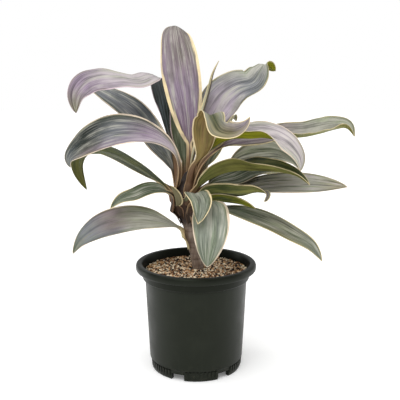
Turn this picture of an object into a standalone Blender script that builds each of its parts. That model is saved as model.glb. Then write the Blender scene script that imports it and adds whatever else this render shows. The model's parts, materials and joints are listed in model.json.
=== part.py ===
"""Ti plant in its nursery pot. Tables are in millimetres and degrees, the scene is in metres.

+X is to the right of the front view, +Y away from it, +Z up, and z = 0 is the ground.
"""

import math
import random

import bmesh
import bpy
import numpy as np

MM = 0.001
GAP = 0.3

# Pot
RIM_RADIUS = 82.5
POT_HEIGHT = 148.0
WALL = 2.0
POT_SIDES = 44
FEET = 6
FOOT_RING = 58.0
NOTCH_WIDTH = 18.0
NOTCH_HEIGHT = 9.0
NOTCH_DEPTH = 18.0
FRONT_FOOT = -83.0

# Potting mix
MIX_LEVEL = 136.8
HOLE_X = 3.0
HOLE_RADIUS = 8.8
HOLE_BOTTOM = 60.0
CHIPS = 84
CHIP_REACH = (12.5, 63.5)
GOLDEN_ANGLE = 137.508

# Cane: centre and radius, from the foot of the hole to the crown
CANE = (
    (3, 0, 60.3, 7.8), (3, 0, 141, 7.8), (-2, 0, 162, 6.9), (-6, 0, 178, 6.4), (-9, 0, 190, 6.8),
    (-10, 0, 199, 7.6), (-14, 0, 211, 10), (-16, 0, 221, 12.5), (-16, 0, 232, 13.5), (-14, 0, 243, 13.5),
    (-12, 1, 253, 12), (-10, 2, 262, 9.6), (-9, 3, 269, 6.6), (-8, 3, 273, 3.6),
)
CANE_SIDES = 10
SCAR_PITCH = 8.0
SCAR_RIDGE = 0.45

# Leaves: where each leaves the cane (height, compass angle), its midrib from there, and the blade's
# width. roll turns the blade about its midrib, fold lifts both halves from flat; both run base to tip.
LEAVES = {
    "leaf_upright": dict(
        foot=(260, 80), path=((-8, 12, 280), (-9, 12, 310), (-13, 13, 358), (-20, 14, 404), (-25, 19, 437),
                              (-28, 30, 457), (-28, 44, 465), (-27, 57, 465)),
        width=52, heading=(80,), roll=(0, 0, 0, -3, -9), fold=(20, 14, 8, -8, -16), petiole=0.21,
        belly=0.52, point=0.62, stations=16),
    "leaf_folded": dict(
        foot=(259, 165), path=((-29, 18, 292), (-38, 28, 325), (-44, 32, 359), (-50, 35, 387),
                               (-55, 33, 399), (-64, 27, 399), (-78, 19, 395), (-99, 12, 398),
                               (-125, 6, 398), (-144, 2, 391), (-157, 0, 375), (-158, 0, 350)),
        width=50, heading=(250, 248, 243, 232, 217, 207, 200, 195, 190),
        roll=(0, 0, 0, 0, 5, 18, 20, 34, 54, 52), fold=(20, 0, -5, 10), petiole=0.2, belly=0.62,
        stations=24),
    "leaf_left_back": dict(
        foot=(248, 150), path=((-35, 17, 284), (-52, 25, 307), (-70, 34, 332), (-90, 46, 352),
                               (-118, 60, 369), (-141, 74, 379), (-162, 84, 383)),
        width=42, heading=(150,), roll=(15, 25, 30, 30), fold=(14,), petiole=0.12, belly=0.42),
    "leaf_left_big": dict(
        foot=(251, 208), path=((-22, -11, 279), (-27, -14, 300), (-43, -15, 316), (-69, -13, 326),
                               (-100, -7, 327), (-129, 1, 319), (-154, 8, 305), (-171, 12, 289),
                               (-170, 12, 276)),
        width=54, heading=(180,), roll=(20, 42, 48, 45, 40), fold=(16,), petiole=0.18, belly=0.6,
        stations=17),
    "leaf_hanging_left": dict(
        foot=(232, 175), path=((-38, 5, 248), (-60, 13, 265), (-83, 20, 279), (-111, 26, 293),
                               (-136, 31, 298), (-156, 34, 294), (-164, 35, 277), (-153, 35, 242)),
        width=34, heading=(180,), roll=(-25, -30, -30, -35), fold=(12,), petiole=0.1, belly=0.5,
        stations=17),
    "leaf_small_left": dict(
        foot=(220, 200), path=((-31, -11, 241), (-40, -15, 248), (-52, -17, 251), (-65, -18, 249),
                               (-80, -21, 243), (-97, -24, 239), (-112, -28, 228)),
        width=32, heading=(190,), roll=(20, 25, 25), fold=(20,), petiole=0.3, belly=0.4),
    "leaf_low_left": dict(
        foot=(184, 210), path=((-19, -8, 194), (-27, -11, 200), (-47, -17, 207), (-74, -21, 211),
                               (-103, -25, 208), (-130, -27, 199), (-151, -27, 184), (-164, -26, 166)),
        width=48, heading=(185,), roll=(10, 35, 35, 30), fold=(18,), petiole=0.1, belly=0.52, stations=15),
    "leaf_front_small": dict(
        foot=(234, -95), path=((-2, -38, 249), (2, -66, 251), (6, -90, 246), (5, -105, 236),
                               (3, -112, 226)),
        width=32, heading=(-70,), roll=(0,), fold=(20,), petiole=0.08, belly=0.5),
    "leaf_front_hanging": dict(
        foot=(222, -55), path=((12, -28, 236), (19, -54, 237), (19, -82, 228), (18, -105, 213),
                               (16, -119, 196), (14, -127, 177)),
        width=46, heading=(-85,), roll=(0,), fold=(14,), petiole=0.12, belly=0.56, stations=14),
    "leaf_bract": dict(
        foot=(229, 238), path=((-27, -22, 244), (-33, -25, 258)),
        width=22, heading=(225,), roll=(20,), fold=(30,), petiole=0.05, belly=0.45, stations=8),
    "leaf_spear": dict(
        foot=(273.7, None), path=((2, 0, 312), (8, -1, 344), (14, 0, 365), (19, 2, 384), (23, 4, 402),
                                  (30, 6, 418)),
        width=11, heading=(20,), roll=(0,), fold=(50,), petiole=0.05, belly=0.4, stalk=7, stations=10),
    "leaf_upper_right": dict(
        foot=(261, 25), path=((7, 10, 300), (18, 14, 339), (29, 17, 360), (39, 21, 372), (55, 25, 383),
                              (77, 29, 391), (87, 33, 405), (93, 36, 413), (108, 36, 405)),
        width=54, heading=(20,), roll=(0, -45, -62, -62, -45, -35, 40), fold=(16,), petiole=0.26,
        belly=0.42, point=0.64, stations=18),
    "leaf_front_curled": dict(
        foot=(260, -75), path=((-3, -20, 282), (9, -32, 301), (11, -38, 321), (14, -43, 342),
                               (19, -50, 351), (23, -60, 344), (30, -68, 334), (41, -75, 331),
                               (53, -80, 334), (62, -83, 342), (65, -85, 351)),
        width=38, heading=(-75, -72, -60, -35, -20, -12, -10), roll=(0, 0, 5, 25, 25, -10, -40, -48, -50),
        fold=(30, 20, 12, 15, 30, 32), petiole=0.18, belly=0.52, stations=24),
    "leaf_right_arch": dict(
        foot=(258, -18), path=((7, -8, 292), (29, -15, 312), (49, -33, 321), (69, -42, 322), (86, -44, 323),
                               (102, -47, 320), (117, -50, 311), (129, -53, 297), (132, -55, 281)),
        width=48, heading=(-10,), roll=(0, 10, -12, -12, -14, -34, -38), fold=(40, 46, 44, 22, 18),
        petiole=0.25, belly=0.5, stations=18),
    "leaf_right_long": dict(
        foot=(253, -48), path=((8, -18, 284), (22, -20, 300), (41, -14, 311), (65, -6, 316), (88, -2, 318),
                               (113, -3, 319), (139, -15, 321), (158, -33, 327), (173, -54, 334),
                               (184, -70, 337), (191, -86, 328)),
        width=48, heading=(0,), roll=(0, -25, -35, -25, -16, -16, -10), fold=(15, 15, 40, 42, 30),
        petiole=0.25, belly=0.5, stations=20),
    "leaf_right_channel": dict(
        foot=(240, -70), path=((4, -20, 257), (17, -21, 266), (34, -23, 274), (53, -28, 279),
                               (79, -36, 280), (107, -43, 279), (129, -47, 274), (145, -50, 263)),
        width=46, heading=(-10,), roll=(15, 25, 18, -6, -12, -8), fold=(40, 42, 40, 30), petiole=0.12,
        belly=0.45, stations=15),
    "leaf_back_right": dict(
        foot=(250, 20), path=((22, 18, 267), (44, 30, 279), (66, 38, 288), (90, 44, 292), (113, 50, 291),
                              (133, 52, 281), (147, 50, 267)),
        width=42, heading=(20,), roll=(0, -32, -42, -40), fold=(20,), petiole=0.36, belly=0.5),
    "leaf_back_right_far": dict(
        foot=(246, 45), path=((26, 28, 265), (62, 52, 276), (95, 72, 283), (125, 86, 286), (148, 92, 271)),
        width=40, heading=(35,), roll=(0, -20, -20), fold=(20,), petiole=0.25, belly=0.5),
    "leaf_right_dark": dict(
        foot=(242, 5), path=((24, 8, 256), (52, 14, 262), (79, 22, 272), (107, 25, 274.5), (130, 24, 272)),
        width=46, heading=(5,), roll=(0, -30, -30), fold=(20,), petiole=0.16, belly=0.38),
    "leaf_right_low": dict(
        foot=(236, -15), path=((24, -6, 246), (53, -8, 249), (85, -12, 255), (124, -20, 258),
                               (161, -33, 259), (193, -48, 260)),
        width=48, heading=(-5,), roll=(0, -25, -25), fold=(15,), petiole=0.2, belly=0.5),
    "leaf_right_small": dict(
        foot=(232, -45), path=((19, -21, 247), (38, -32, 250), (57, -42, 251), (75, -49, 254),
                               (90, -54, 252), (87, -56, 242)),
        width=28, heading=(-25,), roll=(0, 45, 50, 35, -20), fold=(25,), petiole=0.1, belly=0.38, point=0.5,
        stations=15),
    "leaf_right_under": dict(
        foot=(226, -25), path=((19, -16, 237), (38, -23, 237), (58, -28, 235), (78, -33, 229)),
        width=28, heading=(-15,), roll=(0, 35, 35), fold=(20,), petiole=0.1, belly=0.45),
    "leaf_right_lowest": dict(
        foot=(212, -15), path=((22, -12, 225), (43, -20, 224), (68, -30, 219), (96, -42, 210),
                               (123, -54, 198), (147, -62, 185), (161, -66, 167)),
        width=42, heading=(-15,), roll=(0, -18, -20), fold=(16,), petiole=0.15, belly=0.5),
    "leaf_crown_back": dict(
        foot=(248, 100), path=((-16, 27, 284), (-17, 40, 311), (-17, 60, 340), (-17, 84, 361),
                               (-18, 108, 372), (-18, 124, 364)),
        width=42, heading=(92,), roll=(0,), fold=(18,), petiole=0.2, belly=0.5, stations=14),
    "leaf_hook": dict(
        foot=(256, 55), path=((11, 22, 272), (21, 34, 291), (31, 48, 313), (42, 60, 334), (52, 66, 342),
                              (57, 68, 335)),
        width=36, heading=(60,), roll=(0,), fold=(25,), petiole=0.25, belly=0.4, stations=15),
    "leaf_back_low": dict(
        foot=(232, 90), path=((-2, 36, 233), (3, 70, 227), (6, 102, 217), (9, 124, 202)),
        width=42, heading=(88,), roll=(0,), fold=(18,), petiole=0.2, belly=0.5),
    "leaf_back_left": dict(
        foot=(240, 140), path=((-43, 30, 248), (-80, 58, 265), (-123, 88, 283), (-159, 110, 289),
                               (-190, 127, 284)),
        width=40, heading=(145,), roll=(0,), fold=(15,), petiole=0.2, belly=0.5),
    "leaf_back_side": dict(
        foot=(236, 50), path=((33, 36, 256), (78, 70, 258), (117, 100, 255), (154, 125, 242)),
        width=42, heading=(45,), roll=(0,), fold=(18,), petiole=0.2, belly=0.5),
}
LEAF_USUAL = dict(point=0.75, stalk=8.0, stations=12)
ACROSS = (-1.0, -0.5, 0.0, 0.5, 1.0)
BLADE_THICK = 0.7
PETIOLE_THICK = 1.3
RIB = 0.9
SEAT_STEPS = 8


def clear_scene():
    for item in list(bpy.data.objects):
        bpy.data.objects.remove(item)


def material(name, colour, roughness):
    made = bpy.data.materials.new(name)
    made.use_nodes = True
    shader = made.node_tree.nodes["Principled BSDF"]
    shader.inputs["Base Color"].default_value = (*colour, 1)
    shader.inputs["Roughness"].default_value = roughness
    return made


def new_object(name, points, faces, colour, roughness=0.5):
    mesh = bpy.data.meshes.new(name)
    mesh.from_pydata([tuple(float(v) * MM for v in p) for p in points], [], faces)
    mesh.validate()
    mesh.materials.append(material(name, colour, roughness))
    made = bpy.data.objects.new(name, mesh)
    bpy.context.collection.objects.link(made)
    tidy = bmesh.new()
    tidy.from_mesh(mesh)
    bmesh.ops.recalc_face_normals(tidy, faces=tidy.faces)
    tidy.to_mesh(mesh)
    tidy.free()
    return made


def shade_smooth(item, angle):
    for face in item.data.polygons:
        face.use_smooth = True
    item.data.set_sharp_from_angle(angle=math.radians(angle))


def revolve(name, profile, sides, colour, roughness=0.5):
    """A closed profile of (radius, height) turned about Z. A radius of 0 becomes one point."""
    points, rows = [], []
    for radius, height in profile:
        if radius == 0:
            rows.append([len(points)] * sides)
            points.append((0, 0, height))
            continue
        rows.append(list(range(len(points), len(points) + sides)))
        for k in range(sides):
            turn = 2 * math.pi * k / sides
            points.append((radius * math.cos(turn), radius * math.sin(turn), height))
    faces = []
    for low, high in zip(rows, rows[1:]):
        for k in range(sides):
            n = (k + 1) % sides
            corners = [low[k], low[n], high[n], high[k]]
            faces.append([c for i, c in enumerate(corners) if c not in corners[:i]])
    return new_object(name, points, faces, colour, roughness)


def cut(target, cutter, operation="DIFFERENCE"):
    modifier = target.modifiers.new("cut", "BOOLEAN")
    modifier.operation = operation
    modifier.object = cutter
    bpy.context.view_layer.objects.active = target
    bpy.ops.object.modifier_apply(modifier=modifier.name)
    bpy.data.objects.remove(cutter)


def box(name, size, centre, turn):
    dx, dy, dz = (v / 2 for v in size)
    c, s = math.cos(math.radians(turn)), math.sin(math.radians(turn))
    points = []
    for z in (-dz, dz):
        for x, y in ((-dx, -dy), (dx, -dy), (dx, dy), (-dx, dy)):
            points.append((centre[0] + c * x - s * y, centre[1] + s * x + c * y, centre[2] + z))
    faces = [(3, 2, 1, 0), (4, 5, 6, 7), (0, 1, 5, 4), (1, 2, 6, 5), (2, 3, 7, 6), (3, 0, 4, 7)]
    return new_object(name, points, faces, (0.5, 0.5, 0.5))


def build_pot():
    outside = [(0, 9.5), (55.0, 9.5), (55.5, 0), (60.8, 0), (62.0, 1.5), (62.7, 13.4), (64.3, 15),
               (69.7, 125), (73.0, 127), (73.3, 138), (80.6, 138), (82.1, 139.4), (RIM_RADIUS, 142),
               (82.2, 145.8), (80.6, 147.6), (78.4, POT_HEIGHT), (75.6, POT_HEIGHT), (74.0, 147.2),
               (73.4, 145.2)]
    inside = [(73.3 - WALL, 138), (73.0 - WALL, 128.4), (69.7 - WALL, 126), (64.3 - WALL, 15.5),
              (60.4, 12.6), (57.5, 11.5), (0, 11.5)]
    pot = revolve("pot", outside + inside, POT_SIDES, (0.035, 0.04, 0.035), 0.55)
    for k in range(FEET):
        turn = FRONT_FOOT + (k + 0.5) * 360 / FEET
        c, s = math.cos(math.radians(turn)), math.sin(math.radians(turn))
        wide = 2 * FOOT_RING * math.tan(math.radians(NOTCH_WIDTH / 2))
        middle = FOOT_RING + NOTCH_DEPTH / 4
        cut(pot, box("notch", (NOTCH_DEPTH, wide, 2 * NOTCH_HEIGHT), (middle * c, middle * s, 0), turn))
    shade_smooth(pot, 35)
    return pot


def build_mix():
    """The filled body under a surface of chips, with the plain hole that the cane stands in."""
    profile = [(0, 11.5 + GAP), (57.0, 11.5 + GAP), (60.0, 12.9), (62.0, 15.8), (67.4, 126.2), (70.7, 128.6),
               (70.9, MIX_LEVEL - 1.4), (69.5, MIX_LEVEL - 0.4), (56, MIX_LEVEL), (36, MIX_LEVEL + 0.8),
               (0, MIX_LEVEL + 1)]
    mix = revolve("potting_mix", profile, POT_SIDES, (0.30, 0.17, 0.08), 0.9)
    rand = random.Random(11)
    chips = bpy.data.collections.new("chips")
    bpy.context.scene.collection.children.link(chips)
    for k in range(CHIPS):
        near, far = CHIP_REACH
        reach = near + (far - near) * math.sqrt((k + 0.5) / CHIPS)
        angle = k * GOLDEN_ANGLE + rand.uniform(-12, 12)
        x, y = reach * math.cos(math.radians(angle)), reach * math.sin(math.radians(angle))
        size = (rand.uniform(5.5, 8.5), rand.uniform(3.2, 5.0), rand.uniform(2.6, 4.2))
        if reach < near + 4.5:
            size = (4.2, 3.2, 3)
        chip = box("chip", size, (0, 0, 0), 0)
        chip.rotation_euler = (rand.uniform(-0.4, 0.4), rand.uniform(-0.4, 0.4), rand.uniform(0, 3.14))
        chip.location = (x * MM, y * MM, (MIX_LEVEL + rand.uniform(-0.2, 0.9)) * MM)
        bpy.context.collection.objects.unlink(chip)
        chips.objects.link(chip)
    union = mix.modifiers.new("chips", "BOOLEAN")
    union.operation = "UNION"
    union.operand_type = "COLLECTION"
    union.collection = chips
    bpy.context.view_layer.objects.active = mix
    bpy.context.view_layer.update()
    bpy.ops.object.modifier_apply(modifier=union.name)
    for chip in list(chips.objects):
        bpy.data.objects.remove(chip)
    bpy.data.collections.remove(chips)
    profile = [(0, HOLE_BOTTOM), (HOLE_RADIUS, HOLE_BOTTOM), (HOLE_RADIUS, 160), (0, 160)]
    hole = revolve("hole", profile, 24, (0.5, 0.5, 0.5))
    hole.location.x = HOLE_X * MM
    cut(mix, hole)
    mix.data.materials.clear()
    mix.data.materials.append(material("potting_mix", (0.30, 0.17, 0.08), 0.9))
    return mix


def cane_at(height):
    heights = [row[2] for row in CANE]
    return [np.interp(height, heights, [row[i] for row in CANE]) for i in (0, 1, 3)]


def build_cane():
    """The cane with its leaf scars, and the crown of grown-together leaf bases at its top."""
    low, high = CANE[0][2], CANE[-1][2]
    heights = [low, 100.0, 144.0]
    while heights[-1] + SCAR_PITCH < high - 2:
        heights += [heights[-1] + SCAR_PITCH * 0.7, heights[-1] + SCAR_PITCH]
    heights.append(high)
    points = []
    for i, height in enumerate(heights):
        x, y, radius = cane_at(height)
        ridge = 0.0 if i < 3 or i == len(heights) - 1 else (SCAR_RIDGE if i % 2 else -0.25)
        for k in range(CANE_SIDES):
            turn = 2 * math.pi * k / CANE_SIDES
            out = radius + ridge
            points.append((x + out * math.cos(turn), y + out * math.sin(turn), height))
    faces = []
    for i in range(len(heights) - 1):
        for k in range(CANE_SIDES):
            n = (k + 1) % CANE_SIDES
            a, b = i * CANE_SIDES, (i + 1) * CANE_SIDES
            faces.append((a + k, a + n, b + n, b + k))
    faces.append(tuple(reversed(range(CANE_SIDES))))
    faces.append(tuple(range(len(points) - CANE_SIDES, len(points))))
    cane = new_object("cane", points, faces, (0.16, 0.10, 0.07), 0.75)
    shade_smooth(cane, 50)
    return cane


def along(points, count):
    """Evenly spaced positions on a smooth path through the points."""
    p = np.asarray(points, float)
    knots = np.concatenate([[0], np.cumsum(np.linalg.norm(np.diff(p, axis=0), axis=1) ** 0.5)])
    span = np.diff(knots)[:, None]
    rate = np.diff(p, axis=0) / span
    slope = np.zeros_like(p)
    slope[1:-1] = (rate[1:] * span[:-1] + rate[:-1] * span[1:]) / (span[1:] + span[:-1])
    slope[0] = 1.5 * rate[0] - 0.5 * slope[1]
    slope[-1] = 1.5 * rate[-1] - 0.5 * slope[-2]
    at = np.linspace(0, knots[-1], 400)
    i = np.clip(np.searchsorted(knots, at, side="right") - 1, 0, len(p) - 2)
    h = span[i]
    f = (at - knots[i])[:, None] / h
    fine = ((2 * f**3 - 3 * f**2 + 1) * p[i] + (f**3 - 2 * f**2 + f) * h * slope[i]
            + (3 * f**2 - 2 * f**3) * p[i + 1] + (f**3 - f**2) * h * slope[i + 1])
    run = np.concatenate([[0], np.cumsum(np.linalg.norm(np.diff(fine, axis=0), axis=1))])
    want = np.linspace(0, run[-1], count)
    return np.stack([np.interp(want, run, fine[:, k]) for k in range(3)], 1)


def eased(values, s):
    """A value at each s from a few given base to tip, passing smoothly from one to the next."""
    v = np.asarray(values, float)
    if len(v) == 1:
        return np.full(len(s), v[0])
    x = np.clip(s, 0, 1) * (len(v) - 1)
    i = np.clip(x.astype(int), 0, len(v) - 2)
    f = x - i
    f = f * f * (3 - 2 * f)
    return v[i] * (1 - f) + v[i + 1] * f


def foot_point(foot, reach):
    height, angle = foot
    x, y, radius = cane_at(height)
    if angle is None:
        return (x, y, height + GAP)
    out = radius + reach
    return (x + out * math.cos(math.radians(angle)), y + out * math.sin(math.radians(angle)), height)


def cane_gap(points):
    """The least distance to the many-sided cane's ridges from the points that are level with it."""
    x, y, radius = cane_at(points[:, 2])
    dx, dy = points[:, 0] - x, points[:, 1] - y
    half_side = math.pi / CANE_SIDES
    from_flat = np.arctan2(dy, dx) % (2 * half_side) - half_side
    wall = (radius + SCAR_RIDGE) * math.cos(half_side) / np.cos(from_flat)
    return (np.hypot(dx, dy) - wall)[points[:, 2] < CANE[-1][2]].min()


def leaf_faces(leaf, across, reach):
    """The leaf's upper and lower face, each a grid (station, place across, xyz)."""
    s = np.linspace(0, 1, leaf["stations"] + 1)
    mid = along([foot_point(leaf["foot"], reach), *leaf["path"]], len(s))
    ahead = np.gradient(mid, axis=0)
    ahead /= np.linalg.norm(ahead, axis=1)[:, None]
    compass = np.radians(eased(leaf["heading"], s))
    side = np.stack([np.sin(compass), -np.cos(compass), 0 * compass], 1)
    side -= (side * ahead).sum(1)[:, None] * ahead
    side /= np.linalg.norm(side, axis=1)[:, None]
    up = np.cross(side, ahead)
    roll = np.radians(eased(leaf["roll"], s))[:, None]
    side, up = side * np.cos(roll) + up * np.sin(roll), up * np.cos(roll) - side * np.sin(roll)

    petiole, belly, point = leaf["petiole"], leaf["belly"], leaf["point"]
    u = np.clip((s - petiole) / (1 - petiole), 0, 1)
    rise = point * belly / (1 - belly)
    blade = leaf["width"] / 2 * u**rise * (1 - u) ** point / (belly**rise * (1 - belly) ** point)
    stalk = leaf["stalk"] / 2 * (1 - 0.3 * np.clip(s / petiole, 0, 1)) * np.clip((1 - s) / 0.4, 0, 1)
    half = np.maximum(np.hypot(blade, stalk), 1.0)[:, None]

    opened = np.clip((s - 0.45 * petiole) / (0.9 * petiole), 0, 1)
    opened = (opened**2 * (3 - 2 * opened))[:, None]
    lift = np.radians((1 - opened) * 10 + opened * eased(leaf["fold"], u)[:, None])
    bow = np.radians((1 - opened) * 40 - opened * 10)
    bow = np.where(np.abs(bow) < 1e-3, 1e-3, bow)
    w = np.asarray(across)[None, :]
    out = half * (np.sin(lift + bow * np.abs(w)) - np.sin(lift)) / bow * np.sign(w)
    raised = half * (np.cos(lift) - np.cos(lift + bow * np.abs(w))) / bow
    upper = mid[:, None] + out[:, :, None] * side[:, None] + raised[:, :, None] * up[:, None]
    normal = np.cross(np.gradient(upper, axis=1), np.gradient(upper, axis=0))
    normal /= np.linalg.norm(normal, axis=2)[:, :, None]
    thick = (BLADE_THICK + PETIOLE_THICK * (1 - opened) * (1 - 0.5 * np.abs(w))
             + RIB * (1 - s[:, None]) * (1 - np.abs(w)) ** 1.5)
    return upper, upper - normal * thick[:, :, None]


def seated_points(leaf):
    """The points of both faces, with the leaf's foot brought in or out until it stands by the cane."""
    reach = SCAR_RIDGE + GAP
    for _ in range(SEAT_STEPS):
        points = np.concatenate([face.reshape(-1, 3) for face in leaf_faces(leaf, ACROSS, reach)])
        if leaf["foot"][1] is None:
            break
        reach += GAP - cane_gap(points)
    return points


def build_leaf(name, leaf):
    leaf = LEAF_USUAL | leaf
    points = seated_points(leaf)
    rows, columns = leaf["stations"] + 1, len(ACROSS)
    under = rows * columns
    faces = []
    for i in range(rows - 1):
        for j in range(columns - 1):
            a, b = i * columns + j, (i + 1) * columns + j
            first, second = ((a, a + 1, b), (a + 1, b + 1, b)), ((a, a + 1, b + 1), (a, b + 1, b))
            for face in first if j < columns // 2 else second:
                faces.append(face)
                faces.append(tuple(under + k for k in reversed(face)))
        for j in (0, columns - 1):
            a, b = i * columns + j, (i + 1) * columns + j
            faces.append((a, b, under + b, under + a) if j == 0 else (b, a, under + a, under + b))
    for i in (0, rows - 1):
        for j in range(columns - 1):
            a = i * columns + j
            face = (a + 1, a, under + a, under + a + 1)
            faces.append(face if i == 0 else face[::-1])
    item = new_object(name, points, faces, (0.33, 0.36, 0.33), 0.45)
    shade_smooth(item, 70)
    return item


clear_scene()
build_pot()
build_mix()
build_cane()
for leaf_name, leaf_table in LEAVES.items():
    build_leaf(leaf_name, leaf_table)
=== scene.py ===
import json
import math

import bmesh
import bpy
import numpy as np
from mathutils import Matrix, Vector, noise

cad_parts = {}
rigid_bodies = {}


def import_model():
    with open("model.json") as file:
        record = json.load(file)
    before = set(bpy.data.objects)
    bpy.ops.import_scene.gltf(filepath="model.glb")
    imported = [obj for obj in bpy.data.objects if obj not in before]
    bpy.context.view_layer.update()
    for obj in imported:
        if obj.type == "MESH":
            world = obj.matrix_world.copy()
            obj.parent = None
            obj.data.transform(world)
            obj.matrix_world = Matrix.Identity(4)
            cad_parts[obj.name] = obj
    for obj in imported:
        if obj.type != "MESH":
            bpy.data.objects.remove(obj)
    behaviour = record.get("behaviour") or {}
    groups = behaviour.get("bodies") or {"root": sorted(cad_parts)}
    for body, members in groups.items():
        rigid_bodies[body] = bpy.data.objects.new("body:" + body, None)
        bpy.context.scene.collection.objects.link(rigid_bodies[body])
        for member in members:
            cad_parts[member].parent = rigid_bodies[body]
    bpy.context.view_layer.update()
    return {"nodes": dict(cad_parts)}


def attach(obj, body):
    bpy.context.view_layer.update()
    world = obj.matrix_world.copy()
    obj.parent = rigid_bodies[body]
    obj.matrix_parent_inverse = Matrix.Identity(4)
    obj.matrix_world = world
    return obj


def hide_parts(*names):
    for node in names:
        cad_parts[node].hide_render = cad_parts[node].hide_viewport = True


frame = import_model()
scene = bpy.context.scene

# Ti plant in its nursery pot. Tables are in millimetres and degrees, and meshes are made in metres.
# +X is to the right of the front view, +Y away from it, +Z up, and z = 0 is what the pot stands on.
mm = 0.001
gap = 0.3
weldReach = 0.01

print("ti plant: frame loaded,", len(frame["nodes"]), "nodes")


# Colours are written as they look on a screen, 0 to 255

def linear(colour):
    parts = [c / 255 for c in colour]
    return tuple(p / 12.92 if p <= 0.04045 else ((p + 0.055) / 1.055) ** 2.4 for p in parts)


tones = {
    "plum": (122, 98, 122), "lilac": (146, 128, 148), "paleLilac": (178, 164, 178),
    "pinkLilac": (202, 182, 188),
    "slate": (84, 90, 94), "steel": (116, 118, 124), "silver": (182, 180, 168), "pearl": (206, 201, 192),
    "mint": (160, 166, 142), "sage": (108, 112, 92), "greySage": (132, 131, 116), "fern": (86, 96, 74),
    "deepFern": (56, 64, 46), "moss": (68, 76, 42), "olive": (112, 110, 56), "lime": (132, 132, 26),
    "drab": (104, 97, 72), "oliveBrown": (134, 110, 68), "darkGreen": (44, 54, 30), "mauve": (128, 115, 117),
    # night is no colour of the plant's own: it is painted shade, for the parts of leaves that lie in shadow
    "taupe": (108, 99, 96), "night": (34, 40, 36), "cream": (234, 214, 170), "straw": (206, 190, 148),
    "blush": (220, 202, 180), "tan": (178, 148, 114), "rust": (120, 92, 70), "umber": (66, 48, 38),
    "khaki": (150, 142, 112), "ash": (188, 178, 182), "seaSilver": (140, 146, 133),
    "seaSage": (102, 110, 94),
}


# Material helpers. A helper that is given a socket works in that socket's node tree.

def newMaterial(name):
    made = bpy.data.materials.new(name)
    made.use_nodes = True
    return made, made.node_tree, made.node_tree.nodes["Principled BSDF"]


def put(socket, value):
    if isinstance(value, bpy.types.NodeSocket):
        socket.id_data.links.new(value, socket)
    else:
        socket.default_value = value


def calc(operation, *values):
    node = values[0].id_data.nodes.new("ShaderNodeMath")
    node.operation = operation
    for socket, value in zip(node.inputs, values):
        put(socket, value)
    return node.outputs[0]


def times(first, second):
    return calc("MULTIPLY", first, second)


def spread(value, low, high, toLow=0.0, toHigh=1.0):
    node = value.id_data.nodes.new("ShaderNodeMapRange")
    node.interpolation_type = "SMOOTHSTEP"
    for name, given in (("Value", value), ("From Min", low), ("From Max", high), ("To Min", toLow),
                        ("To Max", toHigh)):
        put(node.inputs[name], given)
    return node.outputs["Result"]


def mixed(factor, first, second, blend="MIX"):
    node = factor.id_data.nodes.new("ShaderNodeMix")
    node.data_type = "RGBA"
    node.blend_type = blend
    put(node.inputs[0], factor)
    for socket, value in ((node.inputs[6], first), (node.inputs[7], second)):
        put(socket, (*value, 1) if isinstance(value, tuple) else value)
    return node.outputs[2]


def darker(factor, base, colour):
    return mixed(factor, base, colour, "MULTIPLY")


def cloud(where, scale, detail=3.0, rough=0.55, stretch=(1, 1, 1)):
    tree = where.id_data
    mapping, node = tree.nodes.new("ShaderNodeMapping"), tree.nodes.new("ShaderNodeTexNoise")
    put(mapping.inputs["Vector"], where)
    put(mapping.inputs["Scale"], [scale * s for s in stretch])
    for name, value in (("Vector", mapping.outputs[0]), ("Scale", 1.0), ("Detail", detail),
                        ("Roughness", rough)):
        put(node.inputs[name], value)
    return node.outputs["Fac"]


def coat(shader, colour, roughness, height, strength, distance):
    relief = shader.id_data.nodes.new("ShaderNodeBump")
    for name, value in (("Height", height), ("Strength", strength), ("Distance", distance)):
        put(relief.inputs[name], value)
    for name, value in (("Base Color", colour), ("Roughness", roughness), ("Normal", relief.outputs[0])):
        put(shader.inputs[name], value)


def attribute(tree, name, output="Fac"):
    node = tree.nodes.new("ShaderNodeAttribute")
    node.attribute_name = name
    return node.outputs[output]


def objectPlace(tree):
    return tree.nodes.new("ShaderNodeTexCoord").outputs["Object"]


# Mesh helpers

def meshObject(name, points, faces, materials, smoothAngle=50.0):
    mesh = bpy.data.meshes.new(name)
    mesh.from_pydata((np.asarray(points, float) * mm).tolist(), [], faces)
    for entry in materials:
        mesh.materials.append(entry)
    mesh.shade_smooth()
    mesh.set_sharp_from_angle(angle=math.radians(smoothAngle))
    made = bpy.data.objects.new(name, mesh)
    scene.collection.objects.link(made)
    return made


def faceOutwards(item, weld=0):
    mesh = bmesh.new()
    mesh.from_mesh(item.data)
    if weld:
        bmesh.ops.remove_doubles(mesh, verts=mesh.verts, dist=weld * mm)
    bmesh.ops.recalc_face_normals(mesh, faces=mesh.faces)
    mesh.to_mesh(item.data)
    mesh.free()


def cutAway(item, cutter):
    modifier = item.modifiers.new("cut", "BOOLEAN")
    modifier.object = cutter
    bpy.context.view_layer.objects.active = item
    bpy.ops.object.modifier_apply(modifier=modifier.name)
    bpy.data.objects.remove(cutter)


def stored(item, name, kind, values):
    layer = item.data.attributes.new(name, kind, "POINT")
    key = {"FLOAT": "value", "FLOAT_VECTOR": "vector", "FLOAT_COLOR": "color"}[kind]
    layer.data.foreach_set(key, np.asarray(values, np.float32).reshape(-1))


def turned(profile, sides):
    # points and faces of a closed (radius, height) profile turned about Z
    points, rows, faces = [], [], []
    for radius, height in profile:
        if radius == 0:
            rows.append([len(points)] * sides)
            points.append((0, 0, height))
            continue
        rows.append(list(range(len(points), len(points) + sides)))
        for k in range(sides):
            turn = 2 * math.pi * k / sides
            points.append((radius * math.cos(turn), radius * math.sin(turn), height))
    for low, high in zip(rows, rows[1:]):
        for k in range(sides):
            n = (k + 1) % sides
            corners = [low[k], low[n], high[n], high[k]]
            faces.append([c for i, c in enumerate(corners) if c not in corners[:i]])
    return points, faces


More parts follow.
